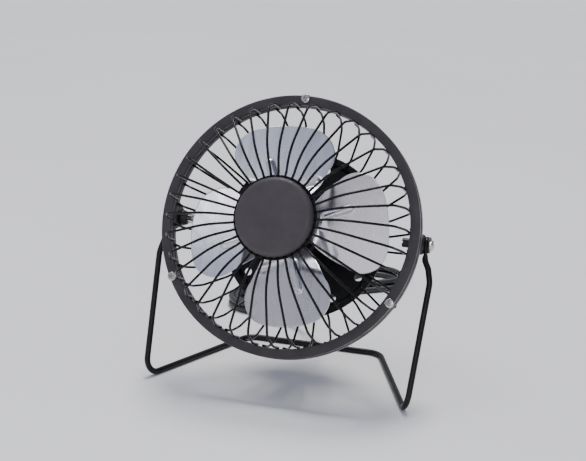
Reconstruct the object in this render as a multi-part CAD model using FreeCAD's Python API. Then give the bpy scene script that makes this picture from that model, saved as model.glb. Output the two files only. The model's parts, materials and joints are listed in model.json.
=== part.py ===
import FreeCAD, Part
import math
import os

# A small metal desk fan: a wire cage and its motor, tilting between the arms of a bent rod stand.
# Millimetres and degrees. +Z is up, the fan faces -Y, and the origin is on the ground under the fan.
# The head is built in its own frame, then tilted: there +Z points out of the cage's front, +Y up
# the face of the cage, +X along the tilt axis, and the tilt axis passes through the head's origin.

# ---- stand and tilt axis ----
PIVOT_Y = 5.1
PIVOT_HEIGHT = 76.7
HEAD_TILT = 22.0
STAND_ROD = 1.5            # radius of the rod
EYE_X = 66.15              # middle of the flattened eye
NECK_X = 68.4              # where the leg swings out past the cage's rim
LEG_X = 70.0               # where the leg is widest, below the eye
FOOT = (66.8, -32.8)       # front corner of the base, measured from the tilt axis
REAR = (36.8, 45.0)        # rear corner of the base, measured from the tilt axis

# ---- cage ----
RING_OUTER = 65.0
RING_INNER = 60.2
RING_FACE = 18.0
FRONT_RING_BACK = 14.4
REAR_RING_FRONT = 13.4
REAR_RING_BACK = 9.2
REAR_RING_OUTER = 65.1
WIRE = 0.6                 # radius of a cage wire
WIRE_COUNT = 36
FRONT_PHASE = 3.0
REAR_PHASE = 5.0
WIRE_ROOT = RING_INNER - WIRE + 0.05
RING_SCREW_CIRCLE = 63.36
RING_SCREW_ANGLES = (90, 210, 330)
SEAM_ANGLE = 181.0

# ---- hub cap and the plate behind it ----
CAP_RADIUS = 19.05
CAP_FACE = 47.2
CAP_ROUND = 2.2
HUB_PLATE_RADIUS = 20.4
HUB_PLATE_TOP = 43.4
HUB_PLATE_BACK = 42.4

# ---- rear plate, a shallow pan ----
PAN_RADIUS = 42.5
PAN_LIP = -16.4
PAN_FLOOR = -19.4
PAN_SHEET = 1.0
PAN_HOLES = 13
PAN_HOLE_CIRCLE = 35.2
PAN_HOLE_PHASE = -31.0

# ---- blades ----
BLADE_RADIUS = 49.8
BLADE_PLANE = 16.8
BLADE_ANGLES = (8.0, 101.3, 191.2, 276.8)   # each was bent by hand, so none is quite square
BLADE_HALF_ANGLE = 41.0
BLADE_ROOT = (7.0, 3.0)    # where a blade's sides leave the disc
BLADE_PITCH = 18.0
BLADE_FOLD = (11.0, 24.0)  # where the sheet starts and stops folding over to its pitch
BLADE_HOLLOW = 1.6
BLADE_SHEET = 0.6
BLADE_CORNER = 13.0
BLADE_TIP_ARC = 56.0
BLADE_SIDE_BOW = 2.0
BLADE_DISC = 12.5

# ---- motor ----
SHAFT = 1.0
RUNNING_GAP = 0.03
CAN_RADIUS = 12.0
CAN_FRONT = 5.4
CAN_BACK = -17.6
CUP_RADIUS = 14.2
CUP_FRONT = 6.4

# ---- rear cover, switch and lead ----
COVER_RADIUS = 23.0
COVER_BACK = -36.0
COVER_WALL = 1.4
SWITCH_Y = 10.0
ROCKER_AXIS = -35.0
ROCKER_THROW = 8.0
LEAD_Y = -11.0
RELIEF_END = -50.0
CABLE = 1.75               # radius of the lead

HANK_CENTRE = (-22.0, 144.7)
HANK_ANGLE = 53.7
HANK_END = 44.0            # middle of the hank to the middle of its end loops
HANK_LOOP = 20.5
HANK_WAIST = 9.0
HANK_HEIGHT = 8.0

Vec = FreeCAD.Vector
X_AXIS = Vec(1, 0, 0)
Y_AXIS = Vec(0, 1, 0)
Z_AXIS = Vec(0, 0, 1)
HEAD = FreeCAD.Placement(Vec(0, PIVOT_Y, PIVOT_HEIGHT), FreeCAD.Rotation(X_AXIS, 90 - HEAD_TILT))
HANK = FreeCAD.Placement(
    Vec(HANK_CENTRE[0], HANK_CENTRE[1], 0), FreeCAD.Rotation(Z_AXIS, HANK_ANGLE)
)


# ---- helpers ----

def disc(radius, low, high, x=0.0, y=0.0):
    """A solid cylinder along Z between two heights."""
    return Part.makeCylinder(radius, high - low, Vec(x, y, low))


def tube(outer, inner, low, high, x=0.0, y=0.0):
    """A hollow cylinder along Z between two heights."""
    hole = disc(inner, low - 1, high + 1, x, y)
    return disc(outer, low, high, x, y).cut(hole)


def block(low, high):
    """A box between two corners."""
    size = Vec(*high) - Vec(*low)
    return Part.makeBox(size.x, size.y, size.z, Vec(*low))


def turned(points):
    """A solid of revolution about Z, from its outline as (radius, height) points."""
    outline = [Vec(r, 0, z) for r, z in points]
    face = Part.Face(Part.makePolygon(outline + outline[:1]))
    return face.revolve(Vec(0, 0, 0), Z_AXIS, 360)


def at_angle(shape, angle):
    """A copy of the shape turned about Z."""
    copy = shape.copy()
    copy.rotate(Vec(0, 0, 0), Z_AXIS, angle)
    return copy


def around(shape, angles):
    """Copies of the shape at each angle about Z, as one group."""
    return Part.makeCompound([at_angle(shape, angle) for angle in angles])


def even_angles(count, phase=0.0):
    """Evenly spaced angles round a circle."""
    return [phase + 360 * i / count for i in range(count)]


def mirrored(shape):
    """The shape and its mirror image across the middle plane, as one group."""
    return Part.makeCompound([shape, shape.mirror(Vec(0, 0, 0), X_AXIS)])


def along_x(shape):
    """Turns a shape built along +Z so that it points along +X."""
    copy = shape.copy()
    copy.rotate(Vec(0, 0, 0), Y_AXIS, 90)
    return copy


def rounded_path(points, radii):
    """Straight runs through the points, with a tangent arc at each inner point."""
    edges = []
    start = points[0]
    for before, corner, after, radius in zip(points, points[1:], points[2:], radii):
        back = (before - corner).normalize()
        ahead = (after - corner).normalize()
        half = back.getAngle(ahead) / 2
        enter = corner + back * (radius / math.tan(half))
        leave = corner + ahead * (radius / math.tan(half))
        middle = corner + (back + ahead).normalize() * (radius / math.sin(half) - radius)
        edges.append(Part.LineSegment(start, enter).toShape())
        edges.append(Part.Arc(enter, middle, leave).toShape())
        start = leave
    edges.append(Part.LineSegment(start, points[-1]).toShape())
    return Part.Wire(edges)


def round_rod(path, radius):
    """A round rod that follows the path."""
    first = path.Edges[0]
    start = first.valueAt(first.FirstParameter)
    heading = first.tangentAt(first.FirstParameter)
    section = Part.Wire(Part.makeCircle(radius, start, heading))
    return path.makePipeShell([section], True, False)


def easy_radii(points):
    """The largest comfortable bend at each inner point of a lead's route."""
    radii = []
    for before, corner, after in zip(points, points[1:], points[2:]):
        shorter = min((before - corner).Length, (after - corner).Length)
        turn = math.pi - (before - corner).getAngle(after - corner)
        radii.append(0.45 * shorter / math.tan(turn / 2))
    return radii


def lead_along(name, points):
    """A round lead along a route, with its bend radii printed."""
    radii = easy_radii(points)
    path = rounded_path(points, radii)
    lead = round_rod(path, CABLE)
    expected = math.pi * CABLE ** 2 * path.Length
    print(name, "length", round(path.Length, 1), "volume ratio", round(lead.Volume / expected, 4),
          "radii", [round(radius, 1) for radius in radii])
    return lead


def pan_head_screw(head_radius, head_height, shank_radius, shank_length):
    """A cross-recess pan-head screw: its head stands on the plane z=0, its shank points down."""
    head = disc(head_radius, 0, head_height)
    head = head.makeFillet(head_height * 0.6, [head.Edges[0]])
    arm = head_radius * 0.55
    slot = head_radius * 0.12
    recess = block((-arm, -slot, head_height * 0.45), (arm, slot, head_height + 1))
    recess = recess.fuse(at_angle(recess, 90))
    return head.fuse(disc(shank_radius, -shank_length, 0)).cut(recess)


def hex_nut(across_flats, bore, thickness):
    """A hexagon nut on the plane z=0."""
    corner = across_flats / math.sqrt(3)
    points = [Vec(corner * math.cos(math.radians(a)), corner * math.sin(math.radians(a)), 0)
              for a in even_angles(6)]
    face = Part.Face(Part.makePolygon(points + points[:1]))
    return face.extrude(Vec(0, 0, thickness)).cut(disc(bore, -1, thickness + 1))


# ---- cage ----

def ring_band(outer, back, front):
    """A flat band bent into a circle, with the line where its ends meet, and holes for its screws."""
    band = tube(outer, RING_INNER, back, front)
    rim_edges = [edge for edge in band.Edges
                 if abs(edge.Length - 2 * math.pi * outer) < 0.5]
    band = band.makeChamfer(0.35, rim_edges)
    seam = block((RING_INNER + 0.6, -0.12, front - 0.4), (outer + 1, 0.12, front + 1))
    band = band.cut(at_angle(seam, SEAM_ANGLE))
    for angle in RING_SCREW_ANGLES:
        hole = disc(1.05, back - 1, front + 1, RING_SCREW_CIRCLE)
        band = band.cut(at_angle(hole, angle))
    return band


def front_ring():
    return ring_band(RING_OUTER, FRONT_RING_BACK, RING_FACE)


def rear_ring():
    return ring_band(REAR_RING_OUTER, REAR_RING_BACK, REAR_RING_FRONT)


def front_wire():
    """One wire of the domed front: off the hub plate, over the crown and back to the ring."""
    lie = HUB_PLATE_TOP + WIRE
    profile = [(CAP_RADIUS + 0.25, lie), (22.3, lie), (31.5, 48.3), (55.9, 36.6),
               (WIRE_ROOT, 25.0), (WIRE_ROOT, FRONT_RING_BACK + 0.2)]
    path = rounded_path([Vec(r, 0, z) for r, z in profile], [5.0, 17.0, 5.0, 16.0])
    return round_rod(path, WIRE)


def rear_wire():
    """One wire of the rear: off the rear ring, round the shoulder and onto the pan's lip."""
    lie = PAN_LIP + WIRE
    profile = [(WIRE_ROOT, REAR_RING_FRONT - 0.2), (WIRE_ROOT, 3.5), (56.4, -5.2),
               (45.0, lie), (39.9, lie)]
    path = rounded_path([Vec(r, 0, z) for r, z in profile], [12.0, 7.0, 4.0])
    return round_rod(path, WIRE)


def front_wires():
    return around(front_wire(), even_angles(WIRE_COUNT, FRONT_PHASE))


def rear_wires():
    return around(rear_wire(), even_angles(WIRE_COUNT, REAR_PHASE))


def front_hub_plate():
    return tube(HUB_PLATE_RADIUS, 1.5, HUB_PLATE_BACK, HUB_PLATE_TOP)


def hub_cap():
    """A shallow cap with a rounded shoulder, and the blind hole of its rivet."""
    cap = disc(CAP_RADIUS, HUB_PLATE_TOP, CAP_FACE)
    shoulder = [edge for edge in cap.Edges if edge.BoundBox.ZMin > CAP_FACE - 0.01]
    cap = cap.makeFillet(CAP_ROUND, shoulder)
    return cap.cut(disc(1.5, HUB_PLATE_TOP - 1, HUB_PLATE_TOP + 2.2))


def cap_rivet():
    """The rivet that holds the cap to the hub plate."""
    head = disc(3.0, HUB_PLATE_BACK - 0.9, HUB_PLATE_BACK)
    return head.fuse(disc(1.5, HUB_PLATE_BACK, HUB_PLATE_TOP + 2.2))


def ring_screws():
    screw = pan_head_screw(2.45, 1.6, 1.0, RING_FACE - REAR_RING_BACK + 2.4)
    screw.translate(Vec(RING_SCREW_CIRCLE, 0, RING_FACE))
    return around(screw, RING_SCREW_ANGLES)


def ring_nuts():
    nut = hex_nut(4.0, 1.0, 1.6)
    nut.translate(Vec(RING_SCREW_CIRCLE, 0, REAR_RING_BACK - 1.6))
    return around(nut, RING_SCREW_ANGLES)


def rear_plate():
    """The pan that closes the back of the cage and carries the motor."""
    centre_hole = 6.5
    wall_top = 39.4
    wall_foot = 38.0
    sheet = PAN_SHEET
    pan = turned([(centre_hole, PAN_FLOOR), (wall_foot, PAN_FLOOR), (wall_top, PAN_LIP),
                  (PAN_RADIUS, PAN_LIP), (PAN_RADIUS, PAN_LIP - sheet), (wall_top + 0.6, PAN_LIP - sheet),
                  (wall_foot + 0.6, PAN_FLOOR - sheet), (centre_hole, PAN_FLOOR - sheet)])
    for angle in even_angles(PAN_HOLES, PAN_HOLE_PHASE):
        hole = disc(1.9, PAN_FLOOR - 2, PAN_FLOOR + 1, PAN_HOLE_CIRCLE)
        pan = pan.cut(at_angle(hole, angle))
    for angle in CUP_SCREW_ANGLES:
        pan = pan.cut(at_angle(disc(0.9, PAN_FLOOR - 2, PAN_FLOOR + 1, CUP_SCREW_CIRCLE), angle))
    for angle in COVER_SCREW_ANGLES:
        hole = disc(0.8, PAN_FLOOR - 2, PAN_FLOOR + 1, COVER_SCREW_CIRCLE)
        pan = pan.cut(at_angle(hole, angle))
    return pan


# ---- tilt pivots, built on the right and mirrored ----
BRACKET_INNER = 60.5
BRACKET_OUTER = 62.1
BOSS_OUTER = 65.35
EYE_HALF = 0.7
EYE_GAP = 0.1
WASHER_INNER = EYE_X + EYE_HALF + EYE_GAP
WASHER_OUTER = WASHER_INNER + 0.9
BUSH_END = 57.6
SCREW_END = 54.6
PIVOT_SHANK = 1.5


def pivot_brackets():
    """A tab welded to the back of the rear ring that narrows towards the tilt axis."""
    outline = [Vec(BRACKET_INNER, y, z) for y, z in
               ((-7.5, REAR_RING_BACK), (7.5, REAR_RING_BACK), (4.1, -1.2), (-4.1, -1.2))]
    face = Part.Face(Part.makePolygon(outline + outline[:1]))
    tab = face.extrude(Vec(BRACKET_OUTER - BRACKET_INNER, 0, 0))
    tab = tab.fuse(along_x(disc(4.3, BRACKET_INNER, BRACKET_OUTER)))
    return mirrored(tab.cut(along_x(disc(PIVOT_SHANK, BRACKET_INNER - 1, BRACKET_OUTER + 1))))


def pivot_bosses():
    """The round spacer between the cage's bracket and the stand's eye."""
    boss = turned([(PIVOT_SHANK, BRACKET_OUTER), (4.8, BRACKET_OUTER), (5.1, BRACKET_OUTER + 0.6),
                   (5.1, BOSS_OUTER - 1.6), (4.7, BOSS_OUTER - 0.7), (3.9, BOSS_OUTER),
                   (PIVOT_SHANK, BOSS_OUTER)])
    return mirrored(along_x(boss))


def pivot_bushes():
    """The tapered bush inside the bracket."""
    bush = turned([(PIVOT_SHANK, BUSH_END), (3.2, BUSH_END), (4.2, BRACKET_INNER),
                   (PIVOT_SHANK, BRACKET_INNER)])
    return mirrored(along_x(bush))


def pivot_screws():
    """The screws that clamp the stand's eyes and let the head tilt."""
    screw = pan_head_screw(2.6, 1.8, PIVOT_SHANK, WASHER_OUTER - SCREW_END)
    screw.translate(Vec(0, 0, WASHER_OUTER))
    return mirrored(along_x(screw))


def pivot_nuts():
    """Slim round nuts on the inner ends of the pivot screws."""
    nut = tube(2.3, PIVOT_SHANK, SCREW_END - 0.6, BUSH_END)
    slot = block((-3, -0.4, SCREW_END - 1), (3, 0.4, SCREW_END - 0.1))
    return mirrored(along_x(nut.cut(slot)))


def pivot_washers():
    return mirrored(along_x(tube(4.0, PIVOT_SHANK, WASHER_INNER, WASHER_OUTER)))


# ---- stand ----
NECK_END = 6.4             # from the tilt axis to where the rod is round


def leg_point(distance, x):
    """A point at a distance from the tilt axis along the slope of the leg."""
    drop = Vec(0, FOOT[1], STAND_ROD - PIVOT_HEIGHT).normalize()
    return Vec(x, PIVOT_Y, PIVOT_HEIGHT) + drop * distance


def stand_rod():
    """One rod bent into two legs, two base runners and a rear crossbar, with a flat eye at each end."""
    foot_y = PIVOT_Y + FOOT[1]
    rear_y = PIVOT_Y + REAR[1]
    half = [leg_point(NECK_END, EYE_X), leg_point(7.6, EYE_X), leg_point(11.8, NECK_X),
            leg_point(18.5, LEG_X), Vec(FOOT[0], foot_y, STAND_ROD), Vec(REAR[0], rear_y, STAND_ROD)]
    other = [Vec(-point.x, point.y, point.z) for point in reversed(half)]
    bends = [3.0, 8.0, 14.0, 6.5, 9.0]
    rod = round_rod(rounded_path(half + other, bends + bends[::-1]), STAND_ROD)
    eye = along_x(disc(4.1, EYE_X - EYE_HALF, EYE_X + EYE_HALF))
    eye.translate(Vec(0, PIVOT_Y, PIVOT_HEIGHT))
    slope = (leg_point(1, 0) - leg_point(0, 0)).normalize()
    across = FreeCAD.Rotation(X_AXIS.cross(slope), X_AXIS, slope, "ZYX")
    sections = []
    for distance, half_width, half_thickness in ((2.6, 2.7, 0.6), (4.2, 2.6, 0.62)):
        edge = Part.Ellipse(Vec(0, 0, 0), half_width, half_thickness).toShape()
        edge.Placement = FreeCAD.Placement(leg_point(distance, EYE_X), across)
        sections.append(Part.Wire(edge))
    sections.append(Part.Wire(Part.makeCircle(STAND_ROD, leg_point(NECK_END, EYE_X), slope)))
    neck = Part.makeLoft(sections, True, True)
    bore = along_x(disc(PIVOT_SHANK + 0.08, EYE_X - 3, EYE_X + 3))
    bore.translate(Vec(0, PIVOT_Y, PIVOT_HEIGHT))
    stand = rod
    for part in (neck, eye):
        stand = stand.fuse(part)
        stand = stand.fuse(part.mirror(Vec(0, 0, 0), X_AXIS))
    return stand.cut(bore).cut(bore.mirror(Vec(0, 0, 0), X_AXIS))


# ---- rotor ----

def blade_height(radial, across):
    """Height of a blade's sheet: flat at the disc, then pitched and slightly hollow."""
    start, stop = BLADE_FOLD
    rise = min(max((radial - start) / (stop - start), 0.0), 1.0)
    rise = rise * rise * (3 - 2 * rise)
    pitched = math.tan(math.radians(BLADE_PITCH)) * across
    hollow = -BLADE_HOLLOW * (across / 30.0) ** 2
    return BLADE_PLANE + rise * (pitched + hollow)


def blade_planform():
    """A sector with bowed sides, a rather flat tip and well rounded corners, as a tall block."""
    low = BLADE_PLANE - 15
    tall = 30
    side = math.radians(BLADE_HALF_ANGLE)
    along = Vec(math.cos(side), math.sin(side), 0)
    root = Vec(BLADE_ROOT[0], BLADE_ROOT[1], low)
    far = root + along * (BLADE_RADIUS * 1.2)
    bowed = (root + far) * 0.5 + Vec(-along.y, along.x, 0) * BLADE_SIDE_BOW
    upper = [root, bowed, far]
    lower = [Vec(point.x, -point.y, low) for point in reversed(upper)]
    outline = Part.Wire([
        Part.Arc(*upper).toShape(), Part.makeLine(upper[2], lower[0]),
        Part.Arc(*lower).toShape(), Part.makeLine(lower[2], upper[0])])
    sector = Part.Face(outline).extrude(Vec(0, 0, tall))
    tip = Part.makeCylinder(BLADE_TIP_ARC, tall, Vec(BLADE_RADIUS - BLADE_TIP_ARC, 0, low))
    planform = sector.common(tip)
    corners = [edge for edge in planform.Edges
               if edge.BoundBox.ZLength > tall - 1 and edge.BoundBox.XMin > BLADE_RADIUS / 2]
    return planform.makeFillet(BLADE_CORNER, corners)


def blade():
    """One blade, cut from its pitched sheet."""
    radials = [6.0 + 2.3 * i for i in range(21)]
    acrosses = [-38.0 + 4.0 * i for i in range(20)]
    grid = [[Vec(r, a, blade_height(r, a)) for a in acrosses] for r in radials]
    surface = Part.BSplineSurface()
    surface.interpolate(grid)
    sheet = surface.toShape().extrude(Vec(0, 0, BLADE_SHEET))
    return sheet.common(blade_planform())


def fan_blades():
    """Four blades pressed from one sheet with the disc that joins them."""
    rotor = tube(BLADE_DISC, 3.0, BLADE_PLANE - 0.2, BLADE_PLANE + BLADE_SHEET + 0.2)
    one = blade()
    for angle in BLADE_ANGLES:
        rotor = rotor.fuse(at_angle(one, angle))
    return rotor.cut(disc(3.0, 0, 40))


def blade_hub():
    """The brass hub that carries the blades on the shaft."""
    return turned([(SHAFT, 10.6), (3.4, 10.6), (3.4, 14.6), (5.6, 14.6), (5.6, BLADE_PLANE - 0.2),
                   (3.0, BLADE_PLANE - 0.2), (3.0, 19.4), (SHAFT, 19.4)])


def blade_washer():
    return tube(5.2, 3.0, BLADE_PLANE + BLADE_SHEET + 0.2, BLADE_PLANE + BLADE_SHEET + 0.9)


def motor_shaft():
    return disc(SHAFT, -18.9, 20.0)


def rotor_core():
    """The three-pole iron core."""
    core = disc(3.4, -12.0, 1.0)
    for angle in even_angles(3):
        web = block((2.0, -1.1, -12.0), (7.0, 1.1, 1.0))
        shoe = tube(8.5, 6.6, -12.0, 1.0).common(
            Part.makeCylinder(9.0, 13.0, Vec(0, 0, -12.0), Z_AXIS, 88))
        shoe = at_angle(shoe, -44)
        core = core.fuse(at_angle(web, angle)).fuse(at_angle(shoe, angle))
    return core.cut(disc(SHAFT, -20, 20))


def rotor_windings():
    """One coil round each pole of the core."""
    coil = block((3.6, -2.7, -13.4), (5.9, 2.7, 2.4)).cut(block((3, -1.15, -12.05), (7, 1.15, 1.05)))
    return around(coil, even_angles(3))


def commutator():
    return tube(2.4, SHAFT, -16.8, -13.6)


# ---- motor ----
CUP_SCREW_CIRCLE = 17.0
CUP_SCREW_ANGLES = (60, 180, 300)
MOTOR_SCREW_CIRCLE = 8.0


def motor_cup():
    """The cover that holds the motor on the front of the pan."""
    cup = turned([(13.2, PAN_FLOOR), (19.6, PAN_FLOOR), (19.6, PAN_FLOOR + 1), (CUP_RADIUS, PAN_FLOOR + 1),
                  (CUP_RADIUS, CUP_FRONT - 1.2), (CUP_RADIUS - 1.2, CUP_FRONT), (4.2, CUP_FRONT),
                  (4.2, CAN_FRONT), (13.2, CAN_FRONT)])
    for angle in CUP_SCREW_ANGLES:
        hole = disc(0.9, PAN_FLOOR - 1, PAN_FLOOR + 2, CUP_SCREW_CIRCLE)
        cup = cup.cut(at_angle(hole, angle))
    for angle in (0, 180):
        hole = disc(0.8, CAN_FRONT - 1, CUP_FRONT + 1, MOTOR_SCREW_CIRCLE)
        cup = cup.cut(at_angle(hole, angle))
    for angle in even_angles(6, 30):
        vent = disc(1.2, CAN_FRONT - 1, CUP_FRONT + 1, 10.6)
        cup = cup.cut(at_angle(vent, angle))
    return cup


def cup_screws():
    screw = pan_head_screw(1.6, 1.1, 0.9, 3.0)
    screw.translate(Vec(CUP_SCREW_CIRCLE, 0, PAN_FLOOR + 1))
    return around(screw, CUP_SCREW_ANGLES)


def motor_screws():
    screw = pan_head_screw(1.5, 1.0, 0.8, CUP_FRONT - CAN_FRONT + 0.8)
    screw.translate(Vec(MOTOR_SCREW_CIRCLE, 0, CUP_FRONT))
    return around(screw, (0, 180))


def motor_can():
    """The steel can, with the boss of its front bearing."""
    can = turned([(CAN_RADIUS - 0.8, CAN_BACK), (CAN_RADIUS, CAN_BACK), (CAN_RADIUS, CAN_FRONT),
                  (3.6, CAN_FRONT), (3.6, CAN_FRONT + 2.4), (2.6, CAN_FRONT + 2.4),
                  (2.6, CAN_FRONT - 0.8), (CAN_RADIUS - 0.8, CAN_FRONT - 0.8)])
    for angle in (0, 180):
        hole = disc(0.8, CAN_FRONT - 2, CAN_FRONT + 1, MOTOR_SCREW_CIRCLE)
        can = can.cut(at_angle(hole, angle))
    return can


def motor_magnets():
    """Two curved magnets on the inside of the can."""
    shell = tube(CAN_RADIUS - 0.8, 9.0, -13.5, 2.5)
    sector = Part.makeCylinder(CAN_RADIUS, 16.0, Vec(0, 0, -13.5), Z_AXIS, 150)
    magnet = shell.common(sector)
    return around(magnet, (15, 195))


def motor_end_cap():
    """The plastic cap that closes the can and holds the rear bearing and the brushes."""
    cap = turned([(2.6, -19.3), (CAN_RADIUS, -19.3), (CAN_RADIUS, CAN_BACK), (CAN_RADIUS - 0.8, CAN_BACK),
                  (CAN_RADIUS - 0.8, CAN_BACK + 0.9), (7.6, CAN_BACK + 0.9), (7.6, CAN_BACK),
                  (2.6, CAN_BACK)])
    for side in (-1, 1):
        slit = block((-1.2, side * 5.4 - 0.3, -20), (1.2, side * 5.4 + 0.3, CAN_BACK + 1))
        cap = cap.cut(slit)
    return cap


def motor_brushes():
    """The two spring brushes that press on the commutator."""
    brush = block((-1.1, 2.45, CAN_BACK + 0.05), (1.1, 3.7, -14.4))
    leaf = block((-1.1, 3.7, CAN_BACK + 0.05), (1.1, 5.7, CAN_BACK + 0.6))
    return around(brush.fuse(leaf), (0, 180))


def motor_terminals():
    """The two tabs that lead the current in through the end cap."""
    tab = block((-1.1, 5.15, -23.2), (1.1, 5.65, CAN_BACK + 0.05))
    return around(tab, (0, 180))


def front_bearing():
    return tube(2.6, SHAFT + RUNNING_GAP, CAN_FRONT - 0.8, CAN_FRONT + 2.4)


def rear_bearing():
    return tube(2.6, SHAFT + RUNNING_GAP, -19.3, CAN_BACK)


# ---- rear cover, switch and board ----
COVER_SCREW_CIRCLE = 18.4
COVER_SCREW_ANGLES = (30, 150, 270)
BACK_OF_PAN = PAN_FLOOR - PAN_SHEET


def rear_cover():
    """The cover behind the pan, with screw posts, side vents, and openings for switch and lead."""
    inside = COVER_BACK + COVER_WALL
    shell = turned([(0, COVER_BACK), (COVER_RADIUS - 2.2, COVER_BACK), (COVER_RADIUS, COVER_BACK + 2.2),
                    (COVER_RADIUS, BACK_OF_PAN), (COVER_RADIUS - COVER_WALL, BACK_OF_PAN),
                    (COVER_RADIUS - COVER_WALL, inside + 1.2), (COVER_RADIUS - 2.6, inside), (0, inside)])
    for angle in COVER_SCREW_ANGLES:
        shell = shell.fuse(at_angle(disc(2.2, inside - 0.2, BACK_OF_PAN, COVER_SCREW_CIRCLE), angle))
    for angle in COVER_SCREW_ANGLES:
        hole = disc(0.8, COVER_BACK - 1, BACK_OF_PAN + 1, COVER_SCREW_CIRCLE)
        shell = shell.cut(at_angle(hole, angle))
    for angle in even_angles(24, 7.5):
        vent = block((COVER_RADIUS - 3, -0.7, -30.0), (COVER_RADIUS + 3, 0.7, -23.5))
        shell = shell.cut(at_angle(vent, angle))
    shell = shell.cut(block((-4.2, SWITCH_Y - 6.6, COVER_BACK - 1), (4.2, SWITCH_Y + 6.6, inside + 1)))
    return shell.cut(disc(2.9, COVER_BACK - 1, inside + 1, 0, LEAD_Y))


def cover_screws():
    """Screws driven from behind, through the cover's posts, into the pan."""
    screw = pan_head_screw(1.7, 1.2, 0.8, BACK_OF_PAN - COVER_BACK + PAN_SHEET)
    screw.rotate(Vec(0, 0, 0), X_AXIS, 180)
    screw.translate(Vec(COVER_SCREW_CIRCLE, 0, COVER_BACK))
    return around(screw, COVER_SCREW_ANGLES)


def control_board():
    """The small board that joins the lead and the switch to the motor."""
    board = block((-11.0, -9.0, -24.6), (11.0, 8.0, -23.2))
    chip = block((-7.5, -3.0, -26.2), (-2.5, 1.0, -24.6))
    can = disc(2.4, -28.6, -24.6, 5.6, -1.5)
    return board.fuse(chip).fuse(can)


def switch_body():
    """The switch's housing, with its bezel on the back of the cover."""
    bezel = block((-5.0, SWITCH_Y - 7.6, COVER_BACK - 1.0), (5.0, SWITCH_Y + 7.6, COVER_BACK))
    rims = [edge for edge in bezel.Edges if edge.BoundBox.ZMax < COVER_BACK - 0.9]
    bezel = bezel.makeChamfer(0.4, rims)
    housing = block((-4.2, SWITCH_Y - 6.6, COVER_BACK), (4.2, SWITCH_Y + 6.6, -28.6))
    cavity = block((-3.05, SWITCH_Y - 5.4, COVER_BACK - 2), (3.05, SWITCH_Y + 5.4, -31.6))
    axle = along_x(disc(0.75, -4.2, 4.2))
    axle.translate(Vec(0, SWITCH_Y, ROCKER_AXIS))
    return bezel.fuse(housing).cut(cavity).cut(axle)


def switch_rocker():
    """The rocker, hollowed across its top, with its two trunnions. It rests in the off position."""
    outline = [Vec(-2.8, y, z) for y, z in ((-4.5, -2.7), (4.5, -2.7), (3.6, 1.5), (-3.6, 1.5))]
    rocker = Part.Face(Part.makePolygon(outline + outline[:1])).extrude(Vec(5.6, 0, 0))
    hollow = along_x(disc(14.0, -4, 4))
    hollow.translate(Vec(0, 0, -2.7 - 13.2))
    rocker = rocker.cut(hollow).fuse(along_x(disc(0.7, -3.6, 3.6)))
    rocker.rotate(Vec(0, 0, 0), X_AXIS, -ROCKER_THROW)
    rocker.translate(Vec(0, SWITCH_Y, ROCKER_AXIS))
    return rocker


def switch_terminals():
    tab = block((-1.0, SWITCH_Y - 4.6, -28.6), (1.0, SWITCH_Y - 4.1, -24.7))
    other = tab.copy()
    other.translate(Vec(0, 1.7, 0))
    return Part.makeCompound([tab, other])


def strain_relief():
    """A tapered rubber sleeve, grooved so that it bends, through the back of the cover."""
    inside = COVER_BACK + COVER_WALL
    sleeve = turned([(CABLE, inside + 1.4), (4.0, inside + 1.4), (4.0, inside), (2.9, inside),
                     (2.9, COVER_BACK), (3.9, COVER_BACK), (3.9, COVER_BACK - 1.2),
                     (3.2, COVER_BACK - 1.2), (2.5, RELIEF_END), (CABLE, RELIEF_END)])
    for i in range(4):
        top = COVER_BACK - 3.4 - 2.4 * i
        sleeve = sleeve.cut(tube(5.0, 2.35, top - 1.0, top))
    sleeve.translate(Vec(0, LEAD_Y, 0))
    return sleeve


def lead_inside():
    """The stretch of the lead inside the sleeve and the cover."""
    return disc(CABLE, RELIEF_END, -30.0, 0, LEAD_Y)


def inner_wires():
    """The two thin cores that run from the lead to the board."""
    core = disc(0.55, -30.0, -24.6, 0.85, LEAD_Y + 2.6 - 0.8)
    stub = disc(0.55, -30.0, -24.6, -0.85, LEAD_Y + 2.6 - 0.8)
    return Part.makeCompound([core, stub])


# ---- lead, hank and plug, in the ground's frame ----

def hank_point(along, across, height):
    """A point given along and across the hank."""
    return HANK.multVec(Vec(along, across, height))


def lead_exit(distance):
    """A point straight behind the sleeve's end."""
    return HEAD.multVec(Vec(0, LEAD_Y, RELIEF_END - distance))


def usb_lead():
    """The lead from the sleeve, down behind the stand, to the hank on the ground."""
    points = [lead_exit(0), lead_exit(9.0), Vec(-3.0, 65.7, 36.5), Vec(-8.5, 73.2, 25.5),
              Vec(-16.0, 78.7, 14.5), Vec(-25.0, 83.5, 5.8), Vec(-36.5, 87.7, CABLE),
              Vec(-48.0, 90.5, CABLE)]
    return lead_along("usb_lead", points)


def cable_hank():
    """The outer shape of the lead folded into a hank: two fanned ends and a tied waist."""
    outline = [(-HANK_END, HANK_LOOP), (0, HANK_WAIST), (HANK_END, HANK_LOOP),
               (HANK_END, -HANK_LOOP), (0, -HANK_WAIST), (-HANK_END, -HANK_LOOP)]
    points = [Vec(x, y, 0) for x, y in outline]
    hank = Part.Face(Part.makePolygon(points + points[:1])).extrude(Vec(0, 0, HANK_HEIGHT))
    for end in (-HANK_END, HANK_END):
        hank = hank.fuse(disc(HANK_LOOP, 0, HANK_HEIGHT, end))
    hank = hank.removeSplitter()
    hank.Placement = HANK.multiply(hank.Placement)
    return hank


def cable_tie():
    """The tie round the hank's waist."""
    outer = block((-2.0, -HANK_WAIST - 0.7, 0), (2.0, HANK_WAIST + 0.7, HANK_HEIGHT + 0.7))
    outer = outer.makeFillet(1.6, [edge for edge in outer.Edges if edge.BoundBox.XLength > 3.9])
    inner = block((-3.0, -HANK_WAIST, 0.7), (3.0, HANK_WAIST, HANK_HEIGHT))
    tie = outer.cut(inner)
    tie.Placement = HANK.multiply(tie.Placement)
    return tie


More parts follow.
